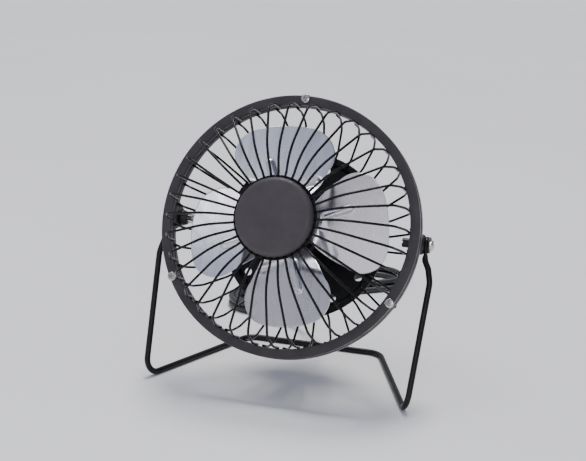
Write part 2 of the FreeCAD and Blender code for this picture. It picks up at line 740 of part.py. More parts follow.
PLUG_ACROSS = 27.5
PLUG_START = -9.0
PLUG_Z = 4.2


def usb_lead_tail():
    """The short stretch from the hank to the plug."""
    points = [hank_point(-47.0, 19.4, 5.25), hank_point(-38.0, 20.6, 5.25), hank_point(-28.0, 24.4, 4.8),
              hank_point(-18.6, PLUG_ACROSS, PLUG_Z), hank_point(PLUG_START, PLUG_ACROSS, PLUG_Z)]
    return lead_along("usb_lead_tail", points)


def plug_part(shape):
    """Places a piece of the plug, built along +X from its cable end."""
    place = HANK.multiply(FreeCAD.Placement(Vec(PLUG_START, PLUG_ACROSS, PLUG_Z), FreeCAD.Rotation()))
    shape.Placement = place.multiply(shape.Placement)
    return shape


def usb_plug_body():
    """The moulded grip."""
    sleeve = Part.makeCone(2.3, 2.9, 5.0, Vec(0, 0, 0), X_AXIS)
    grip = block((5.0, -7.0, -3.9), (24.0, 7.0, 3.9))
    grip = grip.makeFillet(1.4, [edge for edge in grip.Edges if edge.BoundBox.XLength > 18])
    return plug_part(sleeve.fuse(grip))


def usb_plug_shell():
    """The folded metal shell of the plug, with its two latch windows."""
    shell = block((24.0, -6.0, -2.25), (36.0, 6.0, 2.25))
    shell = shell.cut(block((24.0, -5.7, -1.95), (37.0, 5.7, 1.95)))
    for y in (-2.9, 2.9):
        shell = shell.cut(block((28.6, y - 1.1, 1.0), (31.0, y + 1.1, 3.0)))
    return plug_part(shell)


def usb_plug_tongue():
    """The insulating tongue that carries the contacts."""
    return plug_part(block((24.0, -5.6, -1.9), (35.4, 5.6, -0.1)))


def usb_plug_contacts():
    contacts = [block((25.0, y - 0.5, -0.1), (35.0, y + 0.5, 0.1)) for y in (-3.5, -1.0, 1.0, 3.5)]
    return plug_part(Part.makeCompound(contacts))


HEAD_PARTS = (
    front_ring, front_wires, front_hub_plate, hub_cap, cap_rivet, rear_ring, rear_wires, ring_screws,
    ring_nuts, rear_plate, pivot_brackets, pivot_bosses, pivot_bushes, pivot_screws, pivot_nuts,
    pivot_washers, fan_blades, blade_hub, blade_washer, motor_shaft, rotor_core, rotor_windings,
    commutator, motor_cup, cup_screws, motor_screws, motor_can, motor_magnets, motor_end_cap,
    motor_brushes, motor_terminals, front_bearing, rear_bearing, rear_cover, cover_screws,
    control_board, switch_body, switch_rocker, switch_terminals, strain_relief, lead_inside, inner_wires,
)
GROUND_PARTS = (
    stand_rod, usb_lead, cable_hank, cable_tie, usb_lead_tail, usb_plug_body, usb_plug_shell,
    usb_plug_tongue, usb_plug_contacts,
)


def export(make, placement):
    """Builds one sub-part, checks that it is closed, and writes it under its own name."""
    shape = make()
    shape.Placement = placement.multiply(shape.Placement)
    assert shape.isValid() and shape.Solids, make.__name__
    shape.exportStep("parts/" + make.__name__ + ".step")


def main():
    os.makedirs("parts", exist_ok=True)
    for make in HEAD_PARTS:
        export(make, HEAD)
    for make in GROUND_PARTS:
        export(make, FreeCAD.Placement())


main()
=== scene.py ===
import json
import math
import random

import bmesh
import bpy
from mathutils import Matrix, Vector
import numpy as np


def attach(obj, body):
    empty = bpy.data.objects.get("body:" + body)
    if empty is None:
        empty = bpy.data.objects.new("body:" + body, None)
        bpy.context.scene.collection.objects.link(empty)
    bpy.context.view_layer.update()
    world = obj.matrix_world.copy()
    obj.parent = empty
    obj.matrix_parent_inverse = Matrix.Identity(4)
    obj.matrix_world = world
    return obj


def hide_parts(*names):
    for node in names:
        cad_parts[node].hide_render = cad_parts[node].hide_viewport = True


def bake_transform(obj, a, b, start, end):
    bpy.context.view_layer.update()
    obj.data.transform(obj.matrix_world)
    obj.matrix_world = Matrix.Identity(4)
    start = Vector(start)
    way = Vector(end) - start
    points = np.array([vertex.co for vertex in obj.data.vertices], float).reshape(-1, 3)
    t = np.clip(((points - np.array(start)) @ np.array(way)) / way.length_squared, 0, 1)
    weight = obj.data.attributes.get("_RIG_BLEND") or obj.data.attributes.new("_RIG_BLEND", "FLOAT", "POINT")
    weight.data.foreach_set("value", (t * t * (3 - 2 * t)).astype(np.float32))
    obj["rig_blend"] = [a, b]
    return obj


# The looks of a small metal desk fan. Lengths are in millimetres in the code below, and each piece
# is scaled to metres as it is placed. The floor, the lights and the camera's distance are in metres.
# The head's own frame is the CAD's: +X along the tilt axis, +Z out of the cage's front, +Y up its
# face, and the tilt axis through its origin.

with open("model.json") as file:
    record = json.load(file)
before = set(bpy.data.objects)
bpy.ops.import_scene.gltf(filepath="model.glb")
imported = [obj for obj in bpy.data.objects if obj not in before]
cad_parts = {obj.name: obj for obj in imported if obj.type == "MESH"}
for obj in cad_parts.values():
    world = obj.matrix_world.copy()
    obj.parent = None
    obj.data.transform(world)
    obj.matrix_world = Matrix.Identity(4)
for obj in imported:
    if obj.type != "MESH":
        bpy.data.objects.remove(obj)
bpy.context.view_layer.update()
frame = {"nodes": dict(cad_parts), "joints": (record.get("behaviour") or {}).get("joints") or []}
SCALE = 0.001
JOINTS = {joint["name"]: joint for joint in frame["joints"]}
PIVOT = Vector(JOINTS["head_tilt"]["pos_m"])
FRONT = Vector(JOINTS["fan_spin"]["axis"]).normalized()

# ---- stand ----
STAND_ROD = 1.5
EYE_X = 66.15
NECK_X = 68.4
LEG_X = 70.0
FOOT = (66.8, -32.8)
REAR = (36.8, 45.0)
EYE_HALF = 0.7
EYE_HOLE = 1.58
EYE_RIM = 4.1

# ---- cage ----
RING_OUTER = 65.0
RING_INNER = 60.2
RING_FACE = 18.0
FRONT_RING_BACK = 14.4
REAR_RING_FRONT = 13.4
REAR_RING_BACK = 9.2
REAR_RING_OUTER = 65.1
WIRE = 0.6
WIRE_COUNT = 36
FRONT_PHASE = 3.0
REAR_PHASE = 5.0
WIRE_ROOT = RING_INNER - WIRE + 0.05
RING_SCREW_CIRCLE = 63.36
RING_SCREW_ANGLES = (90, 210, 330)
SEAM_ANGLE = 181.0
CAP_RADIUS = 19.05
CAP_FACE = 47.2
HUB_PLATE_RADIUS = 20.4
HUB_PLATE_TOP = 43.4
HUB_PLATE_BACK = 42.4
PAN_LIP = -16.4

# ---- screws: the head's radius and height, the shank's radius and length ----
CAGE_SCREW = (2.45, 1.6, 1.0, 11.1)
TILT_SCREW = (2.6, 1.8, 1.5, 13.2)
COVER_SCREW = (1.7, 1.2, 0.8, 16.5)
CUP_SCREW = (1.6, 1.1, 0.9, 3.0)

# ---- blades ----
BLADE_RADIUS = 49.8
BLADE_PLANE = 16.8
BLADE_ANGLES = (8.0, 101.3, 191.2, 276.8)
BLADE_HALF_ANGLE = 41.0
BLADE_PITCH = 18.0
BLADE_SHEET = 0.6
BLADE_CORNER = 13.0
BLADE_TIP_ARC = 56.0
BLADE_SIDE_BOW = 2.0
BLADE_DISC = 12.5
BLADE_ROOT = (7.0, 3.0)
BLADE_MIDDLE = 31.0
BLADE_HOLLOW = 1.6         # how far the pitched sheet is dished, BLADE_DISHED from its middle line
BLADE_DISHED = 30.0
FOLD_START = 12.5          # where the flat root starts to fold over to its pitch, and over what width
FOLD_WIDTH = 9.5
FOLD_SLANT = 0.12
# Each pressed rib: where it starts and ends, half its width, and its height.
RAISED_RIB = ((18.5, 3.6), (31.5, 6.8), 2.2, 1.9)
SUNK_RIB = ((18.0, -3.5), (21.0, -14.0), 3.0, 1.1)

# ---- lead ----
CABLE = 1.75
LEAD_Y = -11.0
COVER_BACK = -36.0
RELIEF_END = -50.0
HANK_CENTRE = (-22.0, 144.7)
HANK_ANGLE = 53.7
HANK_END = 44.0
PLUG_START = -9.0          # the plug's place in the hank's own frame
PLUG_ACROSS = 27.5
PLUG_Z = 4.2
GRIP_HALF_WIDTH = 7.0
GRIP_HALF_HEIGHT = 3.9


# ---------------------------------------------------------------- placing

def frame_matrix(x_axis, y_axis, z_axis, origin):
    """Millimetres in a frame with these axes, to metres in the object's own frame."""
    turn = Matrix((x_axis, y_axis, z_axis)).transposed().to_4x4()
    return Matrix.Translation(origin) @ turn @ Matrix.Scale(SCALE, 4)


HEAD = frame_matrix(Vector((1, 0, 0)), FRONT.cross(Vector((1, 0, 0))), FRONT, PIVOT)
GROUND = Matrix.Scale(SCALE, 4)
HANK = (Matrix.Scale(SCALE, 4) @ Matrix.Translation((HANK_CENTRE[0], HANK_CENTRE[1], 0))
        @ Matrix.Rotation(math.radians(HANK_ANGLE), 4, "Z"))
ALONG_X = Matrix.Rotation(math.radians(90), 4, "Y")
HEAD_TURN = -68.0          # degrees about X that bring the head's front onto Z


def about_z(angle):
    return Matrix.Rotation(math.radians(angle), 4, "Z")


def even_angles(count, phase=0.0):
    return [phase + 360 * i / count for i in range(count)]


# ---------------------------------------------------------------- shapes as (points, faces)

def rounded(points, radii, closed=True, step=12.0):
    """A 2-D or 3-D line of straight runs with each corner turned into an arc."""
    points = [Vector(p) for p in points]
    count = len(points)
    line = []
    for i, corner in enumerate(points):
        radius = radii[i] if i < len(radii) else 0.0
        if radius <= 0 or (not closed and i in (0, count - 1)):
            line.append(corner)
            continue
        back = (points[i - 1] - corner).normalized()
        ahead = (points[(i + 1) % count] - corner).normalized()
        half = back.angle(ahead) / 2
        centre = corner + (back + ahead).normalized() * (radius / math.sin(half))
        enter = corner + back * (radius / math.tan(half))
        leave = corner + ahead * (radius / math.tan(half))
        turn = math.pi - 2 * half
        parts = max(2, math.ceil(math.degrees(turn) / step))
        start, end = enter - centre, leave - centre
        for k in range(parts + 1):
            share = k / parts
            one = math.sin((1 - share) * turn) / math.sin(turn)
            two = math.sin(share * turn) / math.sin(turn)
            line.append(centre + start * one + end * two)
    return line


def lathe(profile, steps=128, angles=None, inset=None):
    """A closed outline of (radius, height) points swept round Z. inset(angle) shrinks the outline there."""
    angles = angles or even_angles(steps)
    middle = sum((Vector(p) for p in profile), Vector((0, 0))) / len(profile)
    points, faces = [], []
    size = len(profile)
    for angle in angles:
        share = inset(angle) if inset else 0.0
        turn = math.radians(angle)
        for r, z in profile:
            away = Vector((r, z)) - middle
            away = away * (1 - share / max(away.length, 1e-6))
            r, z = middle + away
            points.append(Vector((r * math.cos(turn), r * math.sin(turn), z)))
    for i in range(len(angles)):
        for j in range(size):
            a, b = i * size + j, i * size + (j + 1) % size
            c, d = ((i + 1) % len(angles)) * size + (j + 1) % size, ((i + 1) % len(angles)) * size + j
            faces.append((a, d, c, b))
    return points, faces


def turned(profile, steps):
    """A solid of revolution from an open outline that starts and ends on the axis."""
    points, faces = [Vector((0, 0, profile[0][1])), Vector((0, 0, profile[-1][1]))], []
    inner = profile[1:-1]
    size = len(inner)
    for angle in even_angles(steps):
        turn = math.radians(angle)
        points += [Vector((r * math.cos(turn), r * math.sin(turn), z)) for r, z in inner]
    for i in range(steps):
        here, there = 2 + i * size, 2 + ((i + 1) % steps) * size
        faces.append((0, there, here))
        faces.append((1, here + size - 1, there + size - 1))
        for j in range(size - 1):
            faces.append((here + j, there + j, there + j + 1, here + j + 1))
    return points, faces


def swept(line, radius, sides=14, flat=None, ends=True):
    """A rod along a line. flat(i) gives (width factor, thickness factor, direction of thickness)."""
    line = [Vector(p) for p in line]
    count = len(line)
    headings = [(line[min(i + 1, count - 1)] - line[max(i - 1, 0)]).normalized() for i in range(count)]
    side = headings[0].orthogonal().normalized()
    rings = []
    for i, heading in enumerate(headings):
        side = (side - heading * side.dot(heading)).normalized()
        across = heading.cross(side)
        ring = []
        for k in range(sides):
            turn = 2 * math.pi * k / sides
            offset = side * math.cos(turn) + across * math.sin(turn)
            if flat:
                wide, thin, way = flat(i)
                level = offset.dot(way)
                offset = (offset - way * level) * wide + way * (level * thin)
            ring.append(offset * radius)
        rings.append((line[i], ring))
    if ends:
        rings = domed(rings, headings, radius)
    points = [centre + offset for centre, ring in rings for offset in ring]
    faces = []
    for i in range(len(rings) - 1):
        for k in range(sides):
            a, b = i * sides + k, i * sides + (k + 1) % sides
            faces.append((a, b, b + sides, a + sides))
    last = (len(rings) - 1) * sides
    faces.append(tuple(reversed(range(sides))))
    faces.append(tuple(range(last, last + sides)))
    return points, faces


def domed(rings, headings, radius):
    """The rings of a rod with three smaller ones at each end, within its length, so its ends are rounded."""
    (start, first), (end, last) = rings[0], rings[-1]
    steps = [(share, radius * 0.5 * share ** 3) for share in (0.35, 0.7, 0.92)]
    head = [(start + headings[0] * back, [offset * share for offset in first]) for share, back in steps]
    tail = [(end - headings[-1] * back, [offset * share for offset in last])
            for share, back in reversed(steps)]
    body = [(start + headings[0] * radius * 0.5, first)] + rings[1:-1]
    body += [(end - headings[-1] * radius * 0.5, last)]
    return head + body + tail


def moved(shape, matrix):
    points, faces = shape
    return [matrix @ p for p in points], faces


def joined(shapes):
    points, faces = [], []
    for some_points, some_faces in shapes:
        start = len(points)
        points += some_points
        faces += [tuple(start + i for i in face) for face in some_faces]
    return points, faces


def around(shape, angles):
    return joined([moved(shape, about_z(angle)) for angle in angles])


def on_both_sides(shape):
    """The shape built along +Z, turned to point along +X, and the same on the other side."""
    right = moved(shape, ALONG_X)
    left = moved(right, about_z(180))
    return joined([right, left])


# ---------------------------------------------------------------- pieces

def placed(name, data):
    thing = bpy.data.objects.new(name, data)
    bpy.context.scene.collection.objects.link(thing)
    return thing


def finished(piece, material, body, replaces):
    piece.data.materials.clear()
    piece.data.materials.append(material)
    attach(piece, body)
    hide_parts(*replaces)
    return piece


def mesh_piece(name, shape, place):
    """An object from points and faces, smooth-shaded with its sharp edges kept."""
    points, faces = moved(shape, place)
    mesh = bpy.data.meshes.new(name)
    mesh.from_pydata(points, [], faces)
    tidy = bmesh.new()
    tidy.from_mesh(mesh)
    bmesh.ops.recalc_face_normals(tidy, faces=tidy.faces)
    tidy.to_mesh(mesh)
    tidy.free()
    mesh.polygons.foreach_set("use_smooth", [True] * len(mesh.polygons))
    mesh.set_sharp_from_angle(angle=math.radians(50))
    return placed(name, mesh)


def make(name, shape, place, material, body, replaces):
    return finished(mesh_piece(name, shape, place), material, body, replaces)


def softened(name, node, material, body, slot, bevel, side=0):
    """A copy of a CAD piece with its flat faces made whole and its sharp edges rounded off.
    side keeps only what is to the right (1) or the left (-1) of the middle."""
    source = frame["nodes"][node].data
    mesh = bpy.data.meshes.new(name)
    work = bmesh.new()
    work.from_mesh(source)
    bmesh.ops.delete(work, geom=[v for v in work.verts if v.co.x * side < 0], context="VERTS")
    bmesh.ops.remove_doubles(work, verts=work.verts, dist=2e-6)
    bmesh.ops.dissolve_limit(work, angle_limit=math.radians(1.0), verts=work.verts, edges=work.edges)
    work.to_mesh(mesh)
    work.free()
    shading = ("custom_normal", "sharp_face", "sharp_edge")
    for name_of in [a.name for a in mesh.attributes if a.name in shading]:
        mesh.attributes.remove(mesh.attributes[name_of])
    mesh.polygons.foreach_set("use_smooth", [True] * len(mesh.polygons))
    piece = placed(name, mesh)
    rounding = piece.modifiers.new("rounding", "BEVEL")
    rounding.width = bevel * SCALE
    rounding.segments = 3
    rounding.limit_method = "ANGLE"
    rounding.angle_limit = math.radians(35)
    rounding.miter_outer = "MITER_ARC"
    weighted = piece.modifiers.new("weighted", "WEIGHTED_NORMAL")
    weighted.keep_sharp = True
    return finished(piece, material, body, (node,))


# ---------------------------------------------------------------- materials

class Nodes:
    """A material being wired up, in object coordinates, which are in metres."""

    def __init__(self, name):
        self.material = bpy.data.materials.new(name)
        self.material.use_nodes = True
        self.tree = self.material.node_tree
        self.coordinates = self.tree.nodes.new("ShaderNodeTexCoord").outputs["Object"]

    def feed(self, node, inputs):
        """Gives a node's inputs, by name or number, a value or a link each."""
        for key, value in inputs.items():
            if isinstance(value, bpy.types.NodeSocket):
                self.tree.links.new(value, node.inputs[key])
            else:
                node.inputs[key].default_value = value

    def add(self, kind, inputs, **settings):
        node = self.tree.nodes.new(kind)
        for key, value in settings.items():
            setattr(node, key, value)
        self.feed(node, inputs)
        return node

    def made(self, inputs):
        """The material, once its shader's inputs are fed."""
        self.feed(self.tree.nodes["Principled BSDF"], inputs)
        return self.material

    def stretched(self, scale, tilt=0.0):
        """Coordinates scaled differently along each axis, after a turn about X."""
        turn = self.add("ShaderNodeMapping", {"Rotation": (math.radians(tilt), 0, 0),
                                              "Vector": self.coordinates})
        stretch = self.add("ShaderNodeMapping", {"Scale": scale, "Vector": turn.outputs["Vector"]})
        return stretch.outputs["Vector"]

    def noise(self, scale, detail, roughness=0.55, vector=None):
        return self.add("ShaderNodeTexNoise", {
            "Scale": scale, "Detail": detail, "Roughness": roughness,
            "Vector": vector or self.coordinates}).outputs["Fac"]

    def spread(self, value, low, high, start=0.3, end=0.7):
        """The value's usual range, start to end, stretched onto low to high."""
        return self.add("ShaderNodeMapRange", {
            "From Min": start, "From Max": end, "To Min": low, "To Max": high,
            "Value": value}).outputs["Result"]

    def blend(self, share, first, second):
        """A colour between two, by share. Either can be a link."""
        ends = [c if isinstance(c, bpy.types.NodeSocket) else (*c, 1.0) for c in (first, second)]
        return self.add("ShaderNodeMix", {6: ends[0], 7: ends[1], 0: share}, data_type="RGBA").outputs[2]

    def bump(self, height, strength, distance, normal=None):
        inputs = {"Strength": strength, "Distance": distance, "Height": height}
        if normal:
            inputs["Normal"] = normal
        return self.add("ShaderNodeBump", inputs).outputs["Normal"]


def painted(name, dark, light, rough, grain=2600.0, dimple=0.12, gloss=0.5):
    """Paint or powder coat: a mottled colour, an orange-peel surface and uneven gloss."""
    look = Nodes(name)
    cloud = look.noise(90.0, 4.0)
    fine = look.noise(grain, 2.0)
    return look.made({
        "Base Color": look.blend(look.spread(cloud, 0, 1), dark, light),
        "Roughness": look.spread(look.noise(240.0, 5.0, 0.65), *rough),
        "Normal": look.bump(fine, dimple, 0.00012),
        "Specular IOR Level": gloss})


def metal(name, dark, light, rough, scale=(1.0, 1.0, 1.0), tilt=0.0, grain=1400.0, depth=0.08):
    """Bare or plated metal with a directional grain and uneven gloss."""
    look = Nodes(name)
    lines = look.noise(grain, 3.0, 0.6, look.stretched(scale, tilt))
    cloud = look.noise(120.0, 4.0)
    both = {0: look.spread(lines, 0, 0.5), 1: look.spread(cloud, 0, 0.5)}
    mixed = look.add("ShaderNodeMath", both, operation="ADD").outputs[0]
    return look.made({
        "Base Color": look.blend(mixed, dark, light),
        "Roughness": look.spread(mixed, *rough, 0.1, 0.9),
        "Normal": look.bump(lines, depth, 0.00006),
        "Metallic": 1.0})


def blade_metal():
    """Bright aluminium sheet: fine rolling lines one way, a soft lustre, and faint handling marks."""
    look = Nodes("blade_aluminium")
    lines = look.noise(1.0, 4.0, 0.7, look.stretched((2400.0, 70.0, 70.0)))
    broad = look.noise(1.0, 3.0, 0.5, look.stretched((340.0, 14.0, 14.0)))
    cloud = look.noise(22.0, 2.0, 0.4)
    tone = look.blend(look.spread(cloud, 0, 1), (0.75, 0.735, 0.79), (0.83, 0.815, 0.86))
    return look.made({
        "Base Color": look.blend(look.spread(broad, 0.0, 0.3), tone, (0.92, 0.905, 0.93)),
        "Roughness": look.spread(broad, 0.24, 0.33),
        "Normal": look.bump(broad, 0.05, 0.0001, look.bump(lines, 0.1, 0.00004)),
        "Metallic": 1.0, "Anisotropic": 0.35})


def plastic(name, dark, light, rough, grain=3200.0, dimple=0.2):
    """Moulded plastic or rubber with a fine spark-eroded texture."""
    look = Nodes(name)
    pits = look.add("ShaderNodeTexVoronoi", {"Scale": grain, "Vector": look.coordinates})
    return look.made({
        "Base Color": look.blend(look.spread(look.noise(150.0, 4.0), 0, 1), dark, light),
        "Roughness": look.spread(look.noise(420.0, 4.0), *rough),
        "Normal": look.bump(pits.outputs["Distance"], dimple, 0.00008),
        "Specular IOR Level": 0.45})


def cap_look():
    """The hub cap's matt paint, with the faint concentric marks of its pressing."""
    look = Nodes("cap_paint")
    centre = HEAD @ Vector((0, 0, CAP_FACE))
    shift = look.add("ShaderNodeMapping", {"Location": -centre, "Vector": look.coordinates})
    length = look.add("ShaderNodeVectorMath", {0: shift.outputs["Vector"]}, operation="LENGTH")
    many = look.add("ShaderNodeMath", {0: length.outputs["Value"], 1: 9000.0}, operation="MULTIPLY")
    rings = look.add("ShaderNodeMath", {0: many.outputs[0]}, operation="SINE")
    cloud = look.noise(110.0, 4.0)
    grain = look.bump(look.noise(3000.0, 2.0), 0.14, 0.0001)
    return look.made({
        "Base Color": look.blend(look.spread(cloud, 0, 1), (0.056, 0.0485, 0.0515), (0.071, 0.062, 0.066)),
        "Roughness": look.spread(look.noise(300.0, 5.0), 0.42, 0.54),
        "Normal": look.bump(rings.outputs[0], 0.012, 0.0001, grain),
        "Specular IOR Level": 0.35})


def laminated(name):
    """Stacked iron sheets, with a line between each."""
    look = Nodes(name)
    layers = look.noise(1.0, 1.0, 0.5, look.stretched((1.0, 1.0, 2600.0), HEAD_TURN))
    return look.made({
        "Base Color": look.blend(look.spread(layers, 0, 1), (0.14, 0.14, 0.15), (0.34, 0.34, 0.35)),
        "Normal": look.bump(layers, 0.4, 0.0001),
        "Metallic": 1.0, "Roughness": 0.45})


RING_PAINT = painted("ring_paint", (0.036, 0.031, 0.034), (0.056, 0.049, 0.053), (0.34, 0.48), gloss=0.35)
WIRE_PAINT = painted("wire_paint", (0.0035, 0.003, 0.0035), (0.008, 0.007, 0.008), (0.18, 0.3), 3400.0, 0.08,
                     gloss=0.2)
PAN_PAINT = painted("pan_paint", (0.004, 0.004, 0.005), (0.009, 0.009, 0.011), (0.34, 0.48), gloss=0.25)
STAND_PAINT = painted("stand_paint", (0.008, 0.0072, 0.0078), (0.017, 0.015, 0.016), (0.26, 0.4),
                      2200.0, 0.16, gloss=0.22)
CAP_PAINT = cap_look()
NICKEL = metal("nickel", (0.46, 0.43, 0.4), (0.74, 0.71, 0.67), (0.1, 0.24))
ZINC = metal("zinc_steel", (0.45, 0.46, 0.48), (0.68, 0.68, 0.7), (0.28, 0.42), (1, 1, 9), HEAD_TURN)
# A darkened copy of the nickel: painted shade on the right round nut, which is nickel like the left one.
NICKEL_PAINTED_SHADE = metal("nickel_painted_shade", (0.02, 0.02, 0.022), (0.07, 0.07, 0.075), (0.22, 0.36))
BRASS = metal("brass", (0.66, 0.46, 0.17), (0.86, 0.66, 0.32), (0.22, 0.36))
BRONZE = metal("bronze", (0.4, 0.26, 0.13), (0.58, 0.4, 0.22), (0.4, 0.55), depth=0.2)
COPPER = metal("copper", (0.5, 0.17, 0.07), (0.78, 0.36, 0.18), (0.16, 0.3), (1, 1, 6), HEAD_TURN,
               2400, 0.4)
GOLD = metal("gold", (0.78, 0.55, 0.2), (0.92, 0.74, 0.38), (0.15, 0.26))
BLADE = blade_metal()
IRON = laminated("core_iron")
FERRITE = plastic("ferrite", (0.06, 0.06, 0.062), (0.11, 0.11, 0.112), (0.55, 0.7), 2400, 0.3)
BLACK_NYLON = plastic("black_nylon", (0.013, 0.013, 0.015), (0.024, 0.024, 0.027), (0.36, 0.5), 2600, 0.1)
BLACK_PLASTIC = plastic("black_plastic", (0.018, 0.018, 0.02), (0.03, 0.03, 0.033), (0.42, 0.56), 3000, 0.25)
ROCKER_BLACK = plastic("rocker_black", (0.012, 0.012, 0.012), (0.022, 0.022, 0.022), (0.16, 0.26), 3800, 0.04)
RUBBER = plastic("black_rubber", (0.016, 0.016, 0.016), (0.028, 0.028, 0.028), (0.55, 0.7), 3000, 0.2)
JACKET = plastic("lead_jacket", (0.026, 0.027, 0.029), (0.044, 0.045, 0.048), (0.36, 0.5), 2600, 0.12)
TIE_BLACK = plastic("tie_black", (0.014, 0.014, 0.014), (0.026, 0.026, 0.026), (0.5, 0.66), 3400, 0.2)
WHITE_NYLON = plastic("white_nylon", (0.74, 0.73, 0.69), (0.84, 0.83, 0.8), (0.34, 0.46), 2600, 0.1)
BOARD_GREEN = plastic("board_green", (0.014, 0.12, 0.055), (0.03, 0.19, 0.09), (0.2, 0.34), 1800, 0.1)
CORE_RED = plastic("core_red", (0.36, 0.016, 0.016), (0.52, 0.03, 0.03), (0.26, 0.36), 2600, 0.06)


# ---------------------------------------------------------------- camera and light

def aimed(thing, place, target):
    thing.location = place
    thing.rotation_mode = "QUATERNION"
    thing.rotation_quaternion = (Vector(target) - Vector(place)).to_track_quat("-Z", "Y")


VIEW_AZIMUTH, VIEW_ELEVATION, VIEW_ROLL = 15.42, 14.88, 2.37
VIEW_TARGET = (-1.88, 0.0, 76.48)
VIEW_DISTANCE = 0.70026
FILM_WIDTH = 36.0
FOCAL_WIDTHS = 1400.0 / 586.0      # the focal length, in widths of the picture
LIGHT_TARGET = (0.0, 0.0, 0.077)


def make_camera():
    """The photograph's viewpoint: a little to the right, a little above, with a slight roll."""
    azimuth, elevation, roll = (math.radians(a) for a in (VIEW_AZIMUTH, VIEW_ELEVATION, VIEW_ROLL))
    target = Vector(VIEW_TARGET) * SCALE + Vector((0, PIVOT.y, 0))
    back = Vector((math.sin(azimuth) * math.cos(elevation),
                   -math.cos(azimuth) * math.cos(elevation), math.sin(elevation)))
    level = Vector((math.cos(azimuth), math.sin(azimuth), 0))
    upright = back.cross(level)
    right = level * math.cos(roll) + upright * math.sin(roll)
    above = upright * math.cos(roll) - level * math.sin(roll)
    data = bpy.data.cameras.new("camera")
    data.sensor_width = FILM_WIDTH
    data.lens = FILM_WIDTH * FOCAL_WIDTHS
    data.clip_start = 0.01
    camera = placed("camera", data)
    turn = Matrix((right, above, back)).transposed().to_4x4()
    camera.matrix_world = Matrix.Translation(target + back * VIEW_DISTANCE) @ turn
    bpy.context.scene.camera = camera


def make_light(name, kind, place, power, size, tint):
    """A soft light aimed at the fan: a square panel of a size in metres, or a sun of a width in radians."""
    data = bpy.data.lights.new(name, kind)
    if kind == "SUN":
        data.angle = size
    else:
        data.size = size
    data.energy = power
    data.color = tint
    aimed(placed(name, data), place, LIGHT_TARGET)


def make_studio():
    """A plain pale floor, a pale surround, and soft lights from above and in front."""
    floor_mesh = bpy.data.meshes.new("floor")
    reach = 6.0
    floor_mesh.from_pydata([(-reach, -reach, 0), (reach, -reach, 0), (reach, reach, 0), (-reach, reach, 0)],
                           [], [(0, 1, 2, 3)])
    floor = placed("floor", floor_mesh)
    floor.location.z = -0.00002
    look = Nodes("floor")
    tone = look.blend(look.spread(look.noise(3.0, 3.0), 0, 1), (0.82, 0.81, 0.795), (0.86, 0.85, 0.835))
    floor_mesh.materials.append(look.made({"Base Color": tone, "Roughness": 0.75}))
    make_surround()
    make_light("key", "SUN", (-0.05, 0.3, 0.95), 2.5, 0.35, (1.0, 0.985, 0.96))
    make_light("ceiling", "AREA", (-0.4, -0.16, 0.98), 1.4, 0.4, (1.0, 1.0, 1.0))
    make_light("window", "AREA", (0.3, -0.95, 0.52), 1.3, 0.22, (1.0, 1.0, 1.0))


def make_surround():
    """The studio's walls: warm and pale low in front, cooler above, and dimmer to the right and behind."""
    world = bpy.data.worlds.new("surround")
    bpy.context.scene.world = world
    world.use_nodes = True
    tree = world.node_tree
    way = tree.nodes.new("ShaderNodeTexCoord")
    split = tree.nodes.new("ShaderNodeSeparateXYZ")
    tree.links.new(way.outputs["Generated"], split.inputs[0])
    colour = tree.nodes["Background"].inputs["Color"]
    for axis, start, first, end, second in (
            ("Z", 0.0, (0.6, 0.57, 0.57), 0.5, (0.5, 0.55, 0.7)),
            ("X", 0.35, (1.0, 1.0, 1.0), 0.9, (0.22, 0.22, 0.24)),
            ("Y", 0.1, (1.0, 1.0, 1.0), 0.8, (0.6, 0.6, 0.62))):
        ramp = tree.nodes.new("ShaderNodeMapRange")
        ramp.data_type = "FLOAT_VECTOR"
        ramp.inputs[7].default_value = (start,) * 3
        ramp.inputs[8].default_value = (end,) * 3
        ramp.inputs[9].default_value = first
        ramp.inputs[10].default_value = second
        tree.links.new(split.outputs[axis], ramp.inputs[6])
        shade = tree.nodes.new("ShaderNodeVectorMath")
        shade.operation = "MULTIPLY"
        shade.inputs[1].default_value = (1, 1, 1)
        tree.links.new(ramp.outputs["Vector"], shade.inputs[0])
        if colour.is_linked:
            tree.links.new(colour.links[0].from_socket, shade.inputs[1])
        tree.links.new(shade.outputs["Vector"], colour)


make_camera()
make_studio()


# ---------------------------------------------------------------- lead, hank and plug

def hank_point(along, across, height):
    return HANK @ Vector((along, across, height))


def lead_points():
    """The lead from its sleeve down behind the stand, the same route as the CAD's."""
    points = [HEAD @ Vector((0, LEAD_Y, RELIEF_END)), HEAD @ Vector((0, LEAD_Y, RELIEF_END - 9.0))]
    falls = ((-3.0, 65.7, 36.5), (-8.5, 73.2, 25.5), (-16.0, 78.7, 14.5), (-25.0, 83.5, 5.8),
             (-36.5, 87.7, CABLE), (-48.0, 90.5, CABLE))
    return points + [Vector(p) * SCALE for p in falls]


